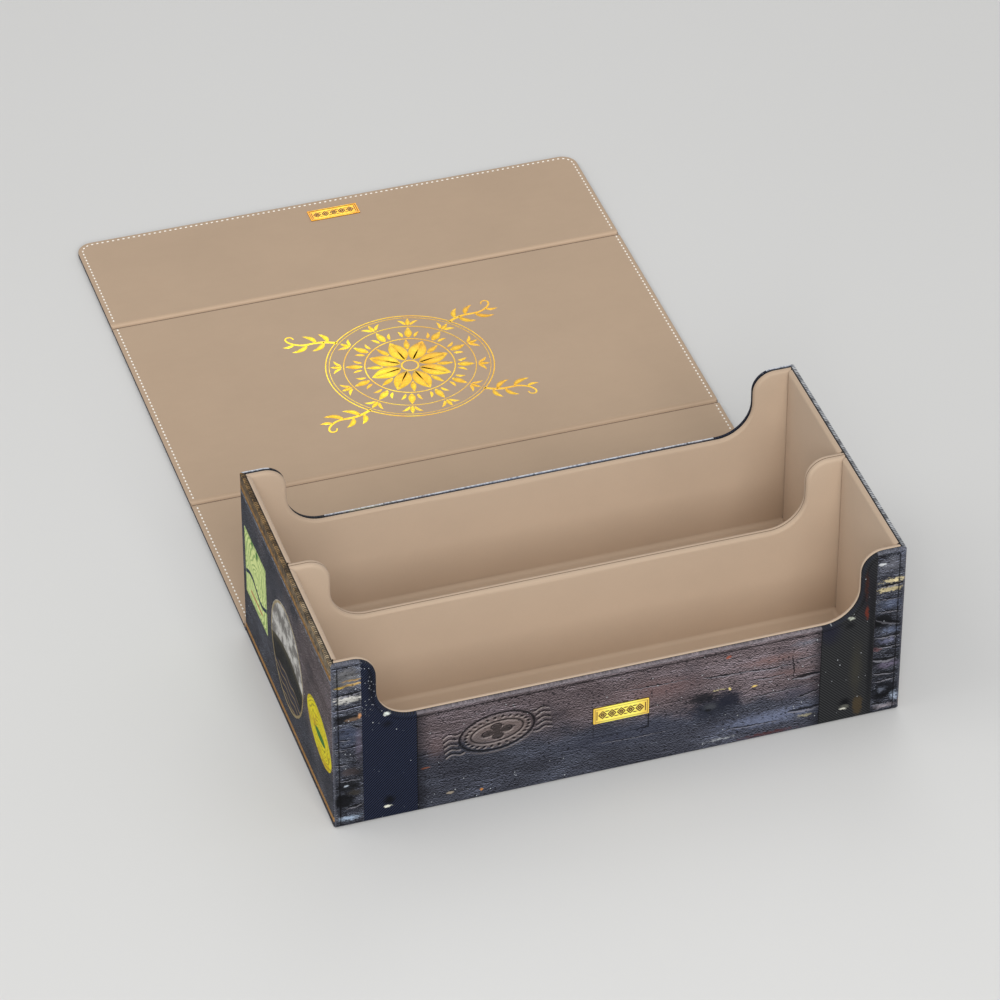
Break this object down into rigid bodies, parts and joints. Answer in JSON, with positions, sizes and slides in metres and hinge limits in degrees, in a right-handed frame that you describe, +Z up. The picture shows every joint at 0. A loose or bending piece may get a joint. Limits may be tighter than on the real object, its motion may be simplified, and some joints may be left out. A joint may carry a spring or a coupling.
{
  "type": "trading card storage box",
  "caption": "Leather-covered card tray with two compartments, scooped walls and a book-style wraparound lid that folds up the back, over the top and down the front.",
  "frame": {"origin": "centre of the tray's footprint, on the surface that the box stands on", "axes": "+X along the tray's length to the right, +Y from the tray's front to its back, +Z up; the lid lies open behind the tray along +Y"},
  "size_m": [0.282, 0.4937, 0.098],
  "materials": {
    "printed_leather": "printed grain leather, satin",
    "cover_leather": "grained dark leather, satin",
    "tan_lining": "tan microfibre, matt",
    "greyboard": "plain rigid board, matt",
    "gold_plate": "polished gold-coloured metal",
    "magnet_steel": "nickel-plated magnet"
  },
  "bodies": {
    "tray": {"base_cover": "cover_leather", "base_board": "greyboard", "front_cover": "printed_leather", "front_board": "greyboard", "front_lining": "tan_lining", "front_clasp_plate": "gold_plate", "front_magnet": "magnet_steel", "back_cover": "printed_leather", "back_board": "greyboard", "back_lining": "tan_lining", "left_cover": "printed_leather", "left_board": "greyboard", "right_cover": "printed_leather", "right_board": "greyboard", "left_front_end_lining": "tan_lining", "left_rear_end_lining": "tan_lining", "right_front_end_lining": "tan_lining", "right_rear_end_lining": "tan_lining", "divider_board": "greyboard", "divider_front_lining": "tan_lining", "divider_rear_lining": "tan_lining", "front_floor_pad": "tan_lining", "rear_floor_pad": "tan_lining"},
    "back_panel": {"base_back_crease": "cover_leather", "back_panel_cover": "cover_leather", "back_panel_board": "greyboard", "back_panel_lining": "tan_lining"},
    "top_panel": {"back_top_crease": "cover_leather", "top_panel_cover": "cover_leather", "top_panel_board": "greyboard", "top_panel_lining": "tan_lining"},
    "flap": {"top_flap_crease": "cover_leather", "flap_cover": "cover_leather", "flap_board": "greyboard", "flap_lining": "tan_lining", "flap_clasp_plate": "gold_plate", "flap_magnet": "magnet_steel"}
  },
  "joints": [
    {"name": "base_back_fold", "type": "hinge", "parent": "tray", "child": "back_panel", "pos_m": [0, 0.079, 0.0004], "axis": [1, 0, 0], "range_deg": [0, 90]},
    {"name": "back_top_fold", "type": "hinge", "parent": "back_panel", "child": "top_panel", "pos_m": [0, 0.1791, 0.0004], "axis": [1, 0, 0], "range_deg": [0, 90]},
    {"name": "top_flap_fold", "type": "hinge", "parent": "top_panel", "child": "flap", "pos_m": [0, 0.3378, 0.0004], "axis": [1, 0, 0], "range_deg": [0, 90]}
  ]
}
